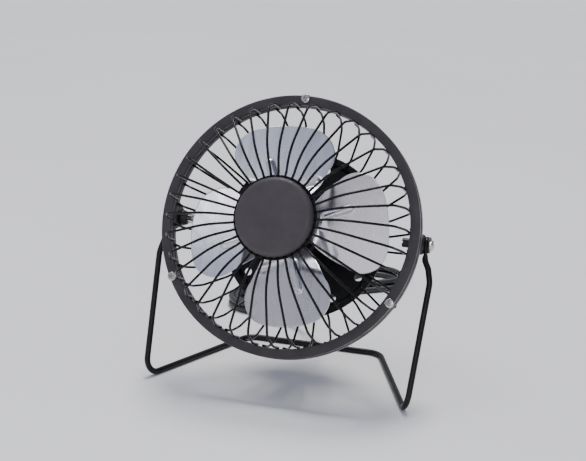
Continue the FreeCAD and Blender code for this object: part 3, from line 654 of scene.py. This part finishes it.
LOOP_INNER, LOOP_OUTER = 15.6, 18.9
WAIST_INNER, WAIST_OUTER = 2.0, 5.8
WAIST_OPENS = 0.9
STATIONS = (("near", 220), ("near", 180), ("near", 140), ("near", 100), ("run", -38), ("run", -24),
            ("run", -7), ("run", 7), ("run", 24), ("run", 38), ("far", 80), ("far", 40), ("far", 0),
            ("far", -40), ("far", -80), ("back", 38), ("back", 24), ("back", 7), ("back", -7),
            ("back", -24), ("back", -38), ("near", 260))
LOW, HIGH = CABLE, 3 * CABLE
WAIST_LIFT = 0.75
CLIMB = {("back", -7): 3.1, ("back", -24): 4.7, ("back", -38): 5.1, ("near", 260): HIGH}
LANES = {
    0: {("back", -7): 1.0, ("back", -24): 0.4, ("back", -38): 0.12, ("near", 260): 0.0},
    1: {("far", 40): -0.1, ("far", 0): -0.1, ("back", -7): 0.05, ("back", -24): -0.4,
        ("back", -38): -0.2, ("near", 260): 0.0},
    2: {("run", 38): 0.15, ("far", 80): 0.35, ("far", 40): 0.7, ("far", 0): 0.85, ("far", -40): 0.5,
        ("far", -80): 0.2, ("back", 7): 0.1, ("back", -7): 0.7, ("back", -24): 1.05,
        ("back", -38): 1.0, ("near", 260): 1.0},
}


def turn_height(turn, station):
    """The turn's height at a station: two turns below, and the second climbs at its end."""
    if turn == 1 and station in CLIMB:
        return CLIMB[station]
    kind, place = station
    lifted = kind in ("run", "back") and abs(place) < 10
    return (LOW if turn < 2 else HIGH) + (WAIST_LIFT if lifted else 0.0)


def turn_point(turn, station):
    """Where a turn of the hank is at a station, lane 0 inside and lane 1 outside."""
    lane = LANES.get(turn, {}).get(station, 1.0 if turn in (0, 3) else 0.0)
    kind, place = station
    height = turn_height(turn, station)
    loop = LOOP_INNER + (LOOP_OUTER - LOOP_INNER) * lane
    if kind in ("near", "far"):
        middle = -HANK_END if kind == "near" else HANK_END
        angle = math.radians(place)
        return hank_point(middle + loop * math.cos(angle), loop * math.sin(angle), height)
    waist = WAIST_INNER + (WAIST_OUTER - WAIST_INNER) * lane
    share = abs(place) / HANK_END
    across = waist + (loop * 0.97 - waist) * share ** WAIST_OPENS
    return hank_point(place, across if kind == "run" else -across, height)


def cord_points():
    """Every control point of the lead: its route, three turns of the hank, and the tail to the plug."""
    points = lead_points() + [turn_point(0, station) for station in STATIONS[1:]]
    for turn in (1, 2):
        points += [turn_point(turn, station) for station in STATIONS]
    points += [turn_point(3, station) for station in STATIONS[:3]]
    tail = ((-47.0, 19.4, 5.25), (-38.0, 20.6, 5.25), (-28.0, 24.4, 4.8),
            (-18.6, PLUG_ACROSS, PLUG_Z), (PLUG_START, PLUG_ACROSS, PLUG_Z))
    return points + [hank_point(*p) for p in tail]


def smooth_line(points):
    """The line that a NURBS curve draws with these control points."""
    curve = bpy.data.curves.new("route", "CURVE")
    curve.dimensions = "3D"
    curve.resolution_u = 8
    spline = curve.splines.new("NURBS")
    spline.points.add(len(points) - 1)
    for control, point in zip(spline.points, points):
        control.co = (*point, 1.0)
    spline.order_u = 3
    spline.use_endpoint_u = True
    bare = bpy.data.objects.new("route", curve)
    line_mesh = bpy.data.meshes.new_from_object(bare)
    line = [v.co.copy() for v in line_mesh.vertices]
    bpy.data.meshes.remove(line_mesh)
    bpy.data.objects.remove(bare)
    bpy.data.curves.remove(curve)
    return line


def make_cord():
    """The lead as one tube, bending between the stand and the head."""
    line = smooth_line(cord_points())
    length = sum((b - a).length for a, b in zip(line, line[1:]))
    tube = swept([p / SCALE for p in line], CABLE, 16)
    cord = mesh_piece("usb_cord", tube, GROUND)
    cord.data.materials.append(JACKET)
    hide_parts("usb_lead", "cable_hank", "usb_lead_tail")
    # From the hank up to this point the lead stays with the stand. With a point nearer the hank, it
    # would dip under the floor as the head tilts back.
    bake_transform(cord, "stand", "head", start=lead_points()[4], end=line[0])
    return cord, line, length


def make_relief():
    """The tapered rubber sleeve, with rounded grooves where it bends."""
    outline = [(CABLE * 0.98, COVER_BACK + 2.8), (4.0, COVER_BACK + 2.8), (4.0, COVER_BACK + 1.4),
               (2.9, COVER_BACK + 1.4), (2.9, COVER_BACK), (3.9, COVER_BACK), (3.9, COVER_BACK - 1.2)]
    radii = [0, 0.3, 0, 0, 0, 0.35, 0.45]
    for i in range(5):
        top = COVER_BACK - 1.9 - 2.4 * i
        wide = 3.25 - 0.16 * i
        for r, z in ((wide - 0.75, top), (wide - 0.75, top - 0.9), (wide, top - 0.9), (wide, top - 2.3)):
            if z > RELIEF_END + 0.6:
                outline.append((r, z))
                radii.append(0.28)
    outline += [(2.45, RELIEF_END + 0.7), (2.3, RELIEF_END), (CABLE * 0.98, RELIEF_END)]
    radii += [0.2, 0.3, 0]
    shape = moved(lathe(rounded(outline, radii, step=25), 48), Matrix.Translation((0, LEAD_Y, 0)))
    return make("cord_sleeve", shape, HEAD, RUBBER, "head", ("strain_relief",))


def rounded_box(low, high, radius, steps=4):
    """A box along X whose long edges are rounded, as rings of points from end to end."""
    (x0, y0, z0), (x1, y1, z1) = low, high
    corners = [(y1, z1), (y0, z1), (y0, z0), (y1, z0)]
    ring = rounded(corners, [radius] * 4, step=90 / steps)
    middle = Vector(((y0 + y1) / 2, (z0 + z1) / 2))
    sections = []
    soft = radius * 0.6
    for x, inset in ((x0, soft), (x0 + soft * 0.3, soft * 0.3), (x0 + soft, 0),
                     (x1 - soft, 0), (x1 - soft * 0.3, soft * 0.3), (x1, soft)):
        section = []
        for y, z in ring:
            away = Vector((y, z)) - middle
            away = away - away.normalized() * inset
            section.append(Vector((x, middle.x + away.x, middle.y + away.y)))
        sections.append(section)
    return stacked(sections)


def stacked(sections):
    """Faces between rings of the same number of points, closed at both ends."""
    size = len(sections[0])
    points = [p for section in sections for p in section]
    faces = [tuple(range(size)), tuple(reversed(range(len(points) - size, len(points))))]
    for i in range(len(sections) - 1):
        for k in range(size):
            a, b = i * size + k, i * size + (k + 1) % size
            faces.append((a, a + size, b + size, b))
    return points, faces


PLUG = HANK @ Matrix.Translation((PLUG_START, PLUG_ACROSS, PLUG_Z))


def make_plug():
    """The plug's moulded grip, with finger ribs on its flanks, and its metal and contacts from the CAD."""
    grip = rounded_box((5.0, -GRIP_HALF_WIDTH, -GRIP_HALF_HEIGHT),
                       (24.0, GRIP_HALF_WIDTH, GRIP_HALF_HEIGHT), 1.8)
    neck = [(0, 0.0), (2.3, 0.0), (2.5, 1.6), (2.75, 4.0), (3.6, 5.4), (0, 5.4)]
    sleeve = moved(turned(neck, 32), ALONG_X)
    ribs = []
    for side in (-1, 1):
        for i in range(5):
            x = 9.0 + 2.2 * i
            ribs.append(rounded_box((x, side * 6.9 - 0.25, -2.2), (x + 1.1, side * 6.9 + 0.25, 2.2), 0.22, 2))
    grip = joined([grip, sleeve] + ribs)
    body = make("plug_grip", fitted(grip), PLUG, JACKET, "stand", ("usb_plug_body",))
    shell = softened("plug_shell", "usb_plug_shell", NICKEL, "stand", "nickel", 0.12)
    tongue = softened("plug_tongue", "usb_plug_tongue", WHITE_NYLON, "stand", "white_nylon", 0.15)
    contacts = softened("plug_contacts", "usb_plug_contacts", GOLD, "stand", "gold", 0.06)
    return [body, shell, tongue, contacts]


def fitted(shape):
    """Keeps a plug's grip within its moulded width and height."""
    points, faces = shape
    held = [Vector((p.x, max(-GRIP_HALF_WIDTH, min(GRIP_HALF_WIDTH, p.y)),
                    max(-GRIP_HALF_HEIGHT, min(GRIP_HALF_HEIGHT, p.z)))) for p in points]
    return held, faces


def make_tie():
    """A flat strap round the hank's waist, with its tail tucked under."""
    outline = rounded([(9.5, 8.45), (-9.5, 8.45), (-9.5, 0.12), (9.5, 0.12)], [2.2] * 4, step=15)
    middle = Vector((0, 4.3))
    sections = []
    for x, inset in ((-1.9, 0.14), (-1.75, 0.0), (1.75, 0.0), (1.9, 0.14)):
        sections.append([Vector((x, p.x * (1 - inset / 9.5), middle.y + (p.y - middle.y) * (1 - inset / 4)))
                         for p in outline])
    inner = []
    for x, inset in ((1.9, 0.0), (-1.9, 0.0)):
        inner.append([Vector((x, p.x * (1 - 0.55 / 9.5), middle.y + (p.y - middle.y) * (1 - 0.55 / 4.2)))
                      for p in outline])
    rings = sections + inner
    size = len(outline)
    points = [p for ring in rings for p in ring]
    faces = []
    for i in range(len(rings)):
        after = (i + 1) % len(rings)
        for k in range(size):
            faces.append((i * size + k, after * size + k, after * size + (k + 1) % size,
                          i * size + (k + 1) % size))
    tail = rounded_box((-1.7, 3.2, 8.15), (1.7, 9.3, 8.62), 0.2, 2)
    return make("hank_tie", joined([(points, faces), tail]), HANK, TIE_BLACK, "stand", ("cable_tie",))


cord, cord_line, cord_length = make_cord()
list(make_plug())
make_tie()
make_relief()


# ---------------------------------------------------------------- cage

def make_ring(name, node, outer, back, front):
    """A flat band bent round and butted, with softened edges and a fine line at the joint."""
    profile = rounded([(RING_INNER, back), (outer, back), (outer, front), (RING_INNER, front)],
                      [0.45, 0.6, 0.6, 0.45])
    close = [SEAM_ANGLE + offset for offset in (-0.35, -0.16, -0.05, 0.05, 0.16, 0.35)]
    angles = sorted([a for a in even_angles(240) if abs(a - SEAM_ANGLE) > 0.6] + close)
    shape = lathe(profile, angles=angles, inset=lambda a: 0.16 if abs(a - SEAM_ANGLE) < 0.1 else 0.0)
    return make(name, shape, HEAD, RING_PAINT, "head", (node,))


def wire_line(profile, radii, angle, wander):
    """One cage wire's line, wandering sideways by a hair between its two ends."""
    flat = rounded(profile, radii, closed=False, step=7.0)
    total = sum((b - a).length for a, b in zip(flat, flat[1:]))
    line, gone, before = [], 0.0, flat[0]
    for point in flat:
        gone += (point - before).length
        before = point
        aside = wander * math.sin(math.pi * gone / total) ** 2
        line.append(about_z(angle) @ Vector((point.x, aside, point.y)))
    return line


def weld(place, along, size):
    """A small smooth lump of weld, drawn out along a direction."""
    ball = [(0, -1), (0.5, -0.86), (0.86, -0.5), (1, 0), (0.86, 0.5), (0.5, 0.86), (0, 1)]
    points, faces = turned(ball, 12)
    turn = Vector((0, 0, 1)).rotation_difference(along).to_matrix().to_4x4()
    stretch = Matrix.Diagonal((size[0], size[0], size[1], 1))
    return moved((points, faces), Matrix.Translation(place) @ turn @ stretch)


def make_wires():
    """The 36 front and 36 rear wires, each spot-welded at both its ends."""
    chance = random.Random(7)
    lie = HUB_PLATE_TOP + WIRE
    front = [(CAP_RADIUS + 0.25, lie), (22.3, lie), (31.5, 48.3), (55.9, 36.6), (WIRE_ROOT, 25.0),
             (WIRE_ROOT, FRONT_RING_BACK + 0.2)]
    rear_lie = PAN_LIP + WIRE
    rear = [(WIRE_ROOT, REAR_RING_FRONT - 0.2), (WIRE_ROOT, 3.5), (56.4, -5.2), (45.0, rear_lie),
            (39.9, rear_lie)]
    front_set, rear_set = [], []
    for angle in even_angles(WIRE_COUNT, FRONT_PHASE):
        line = wire_line(front, [0, 5.0, 17.0, 5.0, 16.0, 0], angle, chance.uniform(-0.25, 0.25))
        front_set.append(swept(line, WIRE, 12))
        turn = about_z(angle)
        front_set.append(weld(turn @ Vector((RING_INNER - 0.15, 0, RING_FACE - 0.9)), Vector((0, 0, 1)),
                              (0.62, 1.0 + chance.uniform(-0.15, 0.15))))
        front_set.append(weld(turn @ Vector((19.9, 0, HUB_PLATE_TOP + 0.1)), turn @ Vector((1, 0, 0)),
                              (0.62, 0.9)))
    for angle in even_angles(WIRE_COUNT, REAR_PHASE):
        line = wire_line(rear, [0, 12.0, 7.0, 4.0, 0], angle, chance.uniform(-0.2, 0.2))
        rear_set.append(swept(line, WIRE, 12))
        turn = about_z(angle)
        rear_set.append(weld(turn @ Vector((RING_INNER - 0.15, 0, REAR_RING_BACK + 1.0)), Vector((0, 0, 1)),
                             (0.62, 1.1)))
        rear_set.append(weld(turn @ Vector((40.6, 0, PAN_LIP + 0.15)), turn @ Vector((1, 0, 0)),
                             (0.7, 1.2)))
    make("front_cage_wires", joined(front_set), HEAD, WIRE_PAINT, "head", ("front_wires",))
    make("rear_cage_wires", joined(rear_set), HEAD, WIRE_PAINT, "head", ("rear_wires",))


def make_cap():
    """The hub cap: a flat face with a shallow step, and a full rounded shoulder."""
    outline = [(0, CAP_FACE), (13.6, CAP_FACE), (14.6, CAP_FACE - 0.05), (15.4, CAP_FACE - 0.06),
               (CAP_RADIUS, CAP_FACE - 0.1), (CAP_RADIUS, HUB_PLATE_TOP), (0, HUB_PLATE_TOP)]
    profile = rounded(outline, [0, 0.8, 0.8, 1.0, 2.5, 0.1, 0], closed=False, step=6)
    make("cap", turned(profile, 128), HEAD, CAP_PAINT, "head", ("hub_cap",))
    plate = rounded([(1.5, HUB_PLATE_BACK), (HUB_PLATE_RADIUS, HUB_PLATE_BACK),
                     (HUB_PLATE_RADIUS, HUB_PLATE_TOP), (1.5, HUB_PLATE_TOP)], [0, 0.4, 0.4, 0])
    make("hub_disc", lathe(plate, 96), HEAD, WIRE_PAINT, "head", ("front_hub_plate",))


def screw_head(radius, height):
    """A domed pan head with a cross recess, from its rim up. It stands on the plane z=0."""
    rows, spokes = 16, 64
    arm, slot, depth = radius * 0.6, radius * 0.15, height * 0.55
    points, faces = [], []
    for i in range(rows + 1):
        share = i / rows
        r = radius * share
        dome = height * (1 - 0.28 * share ** 2)
        if share > 0.8:
            dome -= height * 0.72 * (1 - math.sqrt(max(0.0, 1 - ((share - 0.8) / 0.2) ** 2)))
        for k in range(spokes):
            turn = 2 * math.pi * k / spokes
            x, y = r * math.cos(turn), r * math.sin(turn)
            near = min(abs(x), abs(y))
            inside = near < slot and r < arm
            soft = min(1.0, max(0.0, (slot - near) / (slot * 0.45))) * min(1.0, max(0.0, (arm - r) / 0.25))
            points.append(Vector((x, y, dome - (depth * soft if inside else 0.0))))
    for i in range(rows):
        for k in range(spokes):
            a, b = i * spokes + k, i * spokes + (k + 1) % spokes
            faces.append((a, a + spokes, b + spokes, b) if i else (a, a + spokes, b + spokes))
    rim = len(points)
    points += [Vector((p.x, p.y, 0)) for p in points[-spokes:]]
    for k in range(spokes):
        a, b = rim - spokes + k, rim - spokes + (k + 1) % spokes
        faces.append((a, a + spokes, b + spokes, b))
    faces.append(tuple(rim + k for k in reversed(range(spokes))))
    return points, faces


def screw(radius, height, shank, length, turn):
    """A screw with its head on z=0 and a threaded shank below."""
    rows = [(0, 0)]
    pitch = 0.45
    steps = max(1, int(length / pitch))
    for i in range(steps):
        top = -i * length / steps
        rows += [(shank, top - 0.02), (shank * 0.86, top - length / steps / 2)]
    rows += [(shank * 0.9, -length + 0.01), (0, -length)]
    return moved(joined([screw_head(radius, height), turned(rows, 24)]), about_z(turn))


def ring_of_screws(name, node, size, angles, turns, circle, level, behind=False):
    """Screws in a circle round the motor's axis, each turned its own way, and facing back if behind."""
    screws = []
    for angle, turn in zip(angles, turns):
        one = screw(*size, turn)
        if behind:
            one = moved(one, Matrix.Rotation(math.pi, 4, "X"))
        screws.append(moved(one, about_z(angle) @ Matrix.Translation((circle, 0, level))))
    make(name, joined(screws), HEAD, NICKEL, "head", (node,))


def make_screws():
    ring_of_screws("cage_screws", "ring_screws", CAGE_SCREW, RING_SCREW_ANGLES, (18, 64, 37),
                   RING_SCREW_CIRCLE, RING_FACE)
    one = moved(screw(*TILT_SCREW, 25), Matrix.Translation((0, 0, 67.85)))
    make("tilt_screws", on_both_sides(one), HEAD, NICKEL, "head", ("pivot_screws",))
    ring_of_screws("cover_fixings", "cover_screws", COVER_SCREW, (30, 150, 270), (10, 71, 48),
                   18.4, COVER_BACK, behind=True)
    ring_of_screws("cup_fixings", "cup_screws", CUP_SCREW, (60, 180, 300), (33, 5, 80), 17.0, -18.4)


make_ring("front_band", "front_ring", RING_OUTER, FRONT_RING_BACK, RING_FACE)
make_ring("rear_band", "rear_ring", REAR_RING_OUTER, REAR_RING_BACK, REAR_RING_FRONT)
make_wires()
make_cap()
make_screws()


# ---------------------------------------------------------------- blades

def smooth(share):
    share = max(0.0, min(1.0, share))
    return share * share * (3 - 2 * share)


def rib(x, y, start, end, half_width, height):
    """An oblong pressed rib between two points: how high it stands at (x, y)."""
    a, b = Vector(start), Vector(end)
    way = b - a
    share = max(0.0, min(1.0, (Vector((x, y)) - a).dot(way) / way.length_squared))
    off = (Vector((x, y)) - a - way * share).length
    return height * smooth((half_width - off) / (half_width * 0.75))


def blade_height(x, y):
    """The front surface of a blade: flat at its root, folded over to its pitch, with pressed ribs."""
    rise = smooth((x - FOLD_START - FOLD_SLANT * y) / FOLD_WIDTH)
    pitched = math.tan(math.radians(BLADE_PITCH)) * y
    hollow = -BLADE_HOLLOW * (y / BLADE_DISHED) ** 2
    level = BLADE_PLANE + BLADE_SHEET + rise * (pitched + hollow)
    level += rib(x, y, *RAISED_RIB)
    level -= rib(x, y, *SUNK_RIB)
    return level


def blade_outline():
    """The blade's planform: bowed sides, well rounded corners and a rather flat tip."""
    half = math.radians(BLADE_HALF_ANGLE)
    root = Vector(BLADE_ROOT)
    slope = Vector((math.cos(half), math.sin(half)))
    inward = Vector((math.sin(half), -math.cos(half)))
    tip_centre = Vector((BLADE_RADIUS - BLADE_TIP_ARC, 0))
    run = 0.0
    while (root + slope * run + inward * BLADE_CORNER - tip_centre).length < BLADE_TIP_ARC - BLADE_CORNER:
        run += 0.05
    centre = root + slope * run + inward * BLADE_CORNER
    side = [root + slope * (run * k / 24) - inward * BLADE_SIDE_BOW * math.sin(math.pi * k / 24)
            for k in range(24)]
    begin = math.atan2(-inward.y, -inward.x)
    top = math.atan2(centre.y, centre.x - tip_centre.x)
    corner = []
    for k in range(17):
        angle = begin + (top - begin) * k / 16
        corner.append(centre + Vector((math.cos(angle), math.sin(angle))) * BLADE_CORNER)
    tip = []
    for k in range(1, 20):
        angle = top * (1 - k / 20)
        tip.append(tip_centre + Vector((math.cos(angle), math.sin(angle))) * BLADE_TIP_ARC)
    upper = side + corner + tip
    lower = [Vector((p.x, -p.y)) for p in reversed(upper)]
    return upper + [Vector((BLADE_RADIUS, 0))] + lower


def blade_shape():
    """One blade as two skins and a rounded edge, fine enough to hold its ribs."""
    outline = blade_outline()
    middle = Vector((BLADE_MIDDLE, 0.0))
    shares = [1.0, 0.997, 0.99, 0.975, 0.95] + [0.93 - 0.02 * i for i in range(46)]
    size = len(outline)
    points, faces = [], []
    tops, bottoms = [], []
    for index, share in enumerate(shares):
        dip = (0.3, 0.1, 0.0)[index] if index < 3 else 0.0
        for skin, sign in ((tops, 0.0), (bottoms, 1.0)):
            skin.append(len(points))
            for p in outline:
                flat = middle + (p - middle) * share
                level = blade_height(flat.x, flat.y)
                z = level - dip if sign == 0.0 else level - BLADE_SHEET + dip
                points.append(Vector((flat.x, flat.y, z)))
    for rows, flip in ((tops, False), (bottoms, True)):
        for near, far in zip(rows, rows[1:]):
            for k in range(size):
                a, b = near + k, near + (k + 1) % size
                c, d = far + (k + 1) % size, far + k
                faces.append((a, b, c, d) if flip else (a, d, c, b))
        last = rows[-1]
        ring = tuple(last + k for k in range(size))
        faces.append(ring if flip else tuple(reversed(ring)))
    for k in range(size):
        a, b = tops[0] + k, tops[0] + (k + 1) % size
        c, d = bottoms[0] + (k + 1) % size, bottoms[0] + k
        faces.append((a, b, c, d))
    return points, faces


def make_blades():
    """Four blades and their hub disc, pressed from one sheet."""
    blades = around(blade_shape(), BLADE_ANGLES)
    disc = rounded([(3.0, BLADE_PLANE - 0.2), (BLADE_DISC, BLADE_PLANE - 0.2),
                    (BLADE_DISC, BLADE_PLANE + 0.8), (3.0, BLADE_PLANE + 0.8)], [0.1, 0.3, 0.35, 0.1])
    disc = lathe(disc, 96)
    make("blade_sheet", joined([blades, disc]), HEAD, BLADE, "rotor", ("fan_blades",))


make_blades()


# ---------------------------------------------------------------- stand

def leg_point(distance, x):
    """A point at a distance from the tilt axis along the slope of the leg."""
    pivot = PIVOT / SCALE
    foot = Vector((0, pivot.y + FOOT[1], STAND_ROD))
    drop = (foot - Vector((0, pivot.y, pivot.z))).normalized()
    return Vector((x, pivot.y, pivot.z)) + drop * distance


def make_stand():
    """One bent rod from eye to eye. Its ends are flattened and pierced for the tilt screws."""
    pivot = PIVOT / SCALE
    half = [leg_point(2.6, EYE_X), leg_point(7.6, EYE_X), leg_point(11.8, NECK_X), leg_point(18.5, LEG_X),
            Vector((FOOT[0], pivot.y + FOOT[1], STAND_ROD)), Vector((REAR[0], pivot.y + REAR[1], STAND_ROD))]
    corners = half + [Vector((-p.x, p.y, p.z)) for p in reversed(half)]
    bends = [0, 3.0, 8.0, 14.0, 6.5, 9.0]
    coarse = rounded(corners, bends + bends[::-1], closed=False, step=6)
    line = []
    for a, b in zip(coarse, coarse[1:]):
        parts = max(1, int((b - a).length / 1.2)) if a.z > 40 else 1
        line += [a.lerp(b, k / parts) for k in range(parts)]
    line.append(coarse[-1])
    axis = Vector((1, 0, 0))
    eyes = [Vector((side * EYE_X, pivot.y, pivot.z)) for side in (1, -1)]

    def pressed(i):
        away = min((line[i] - eye).length for eye in eyes)
        flat = 1 - smooth((away - 3.4) / 3.4)
        return 1 + 0.8 * flat, 1 - 0.56 * flat, axis

    rod = swept(line, STAND_ROD, 24, flat=pressed, ends=False)
    eye = rounded([(EYE_HOLE, -EYE_HALF), (EYE_RIM, -EYE_HALF), (EYE_RIM, EYE_HALF), (EYE_HOLE, EYE_HALF)],
                  [0.15, 0.5, 0.5, 0.15])
    eye = moved(lathe(eye, 64), ALONG_X)
    both = [moved(eye, Matrix.Translation(place)) for place in eyes]
    make("bent_rod", joined([rod] + both), GROUND, STAND_PAINT, "stand", ("stand_rod",))


make_stand()


# ---------------------------------------------------------------- pieces kept from the CAD's shapes

SOFTENED = (
    ("motor_pan", "rear_plate", PAN_PAINT, "head", "pan_paint", 0.2),
    ("pivot_tabs", "pivot_brackets", PAN_PAINT, "head", "pan_paint", 0.3),
    ("pivot_spacers", "pivot_bosses", BLACK_NYLON, "head", "black_nylon", 0.2),
    ("pivot_sleeves", "pivot_bushes", BLACK_NYLON, "head", "black_nylon", 0.2),
    ("left_round_nut", "pivot_nuts", NICKEL, "head", "nickel", 0.12, -1),
    # The right nut is the same nickel part as the left; its darker metal is painted shade.
    ("right_round_nut", "pivot_nuts", NICKEL_PAINTED_SHADE, "head", "nickel", 0.12, 1),
    ("pivot_spring_washers", "pivot_washers", BLACK_NYLON, "head", "black_nylon", 0.2),
    ("cage_nuts", "ring_nuts", NICKEL, "head", "nickel", 0.15),
    ("motor_housing", "motor_cup", PAN_PAINT, "head", "pan_paint", 0.25),
    ("motor_fixings", "motor_screws", NICKEL, "head", "nickel", 0.08),
    ("back_cover", "rear_cover", BLACK_PLASTIC, "head", "black_plastic", 0.3),
    ("switch_frame", "switch_body", BLACK_PLASTIC, "head", "black_plastic", 0.15),
    ("rocker", "switch_rocker", ROCKER_BLACK, "rocker", "rocker_black", 0.2),
    ("hub_boss", "blade_hub", BRASS, "rotor", "brass", 0.15),
    ("hub_washer", "blade_washer", NICKEL, "rotor", "nickel", 0.12),
)
KEPT = {
    "cap_rivet": NICKEL, "motor_can": ZINC, "motor_magnets": FERRITE, "motor_end_cap": WHITE_NYLON,
    "motor_brushes": BRASS, "motor_terminals": BRASS, "front_bearing": BRONZE, "rear_bearing": BRONZE,
    "control_board": BOARD_GREEN, "switch_terminals": BRASS, "lead_inside": JACKET,
    "inner_wires": CORE_RED, "motor_shaft": ZINC, "rotor_core": IRON, "rotor_windings": COPPER,
    "commutator": COPPER,
}

for row in SOFTENED:
    softened(*row)
for node, material in KEPT.items():
    mesh = frame["nodes"][node].data
    mesh.materials.clear()
    mesh.materials.append(material)
